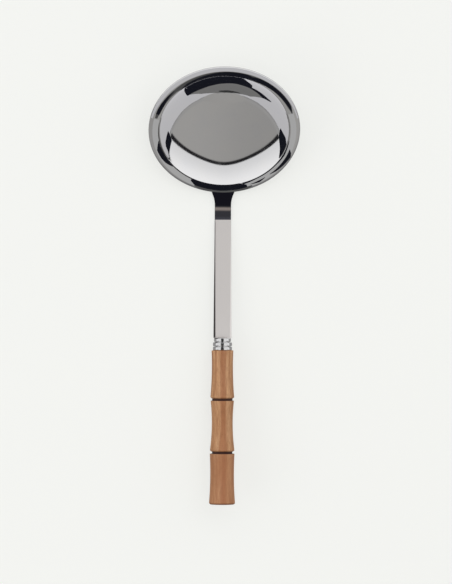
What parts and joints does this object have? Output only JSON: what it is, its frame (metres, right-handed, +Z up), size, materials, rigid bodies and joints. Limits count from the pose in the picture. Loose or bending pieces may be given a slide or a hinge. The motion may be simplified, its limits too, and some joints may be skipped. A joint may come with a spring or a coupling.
{
  "type": "ladle",
  "caption": "Table ladle with a round steel bowl tilted to its handle, a rolled lip, a flat steel shank with a ribbed collar, and a turned wooden handle shaped like a cane.",
  "frame": {"origin": "on the table under the middle of the ladle's length and width", "axes": "+Z up from the table on which the ladle lies, +Y along the handle towards the bowl, X across; the ladle is a mirror image of itself about X"},
  "size_m": [0.096, 0.2842, 0.0481],
  "materials": {
    "bowl_steel": "drawn stainless steel, mirror polished",
    "shank_steel": "stainless steel bar, bright polished",
    "weld_metal": "stainless filler metal, dressed",
    "collar_steel": "turned stainless steel, polished",
    "cane_wood": "turned hardwood, fine grain along the handle, satin, with dark scorched grooves",
    "adhesive": "cured epoxy, hidden in the bore"
  },
  "bodies": {
    "root": {"bowl": "bowl_steel", "shank": "shank_steel", "root_weld": "weld_metal", "collar": "collar_steel", "handle": "cane_wood", "tang_adhesive": "adhesive"}
  },
  "joints": []
}
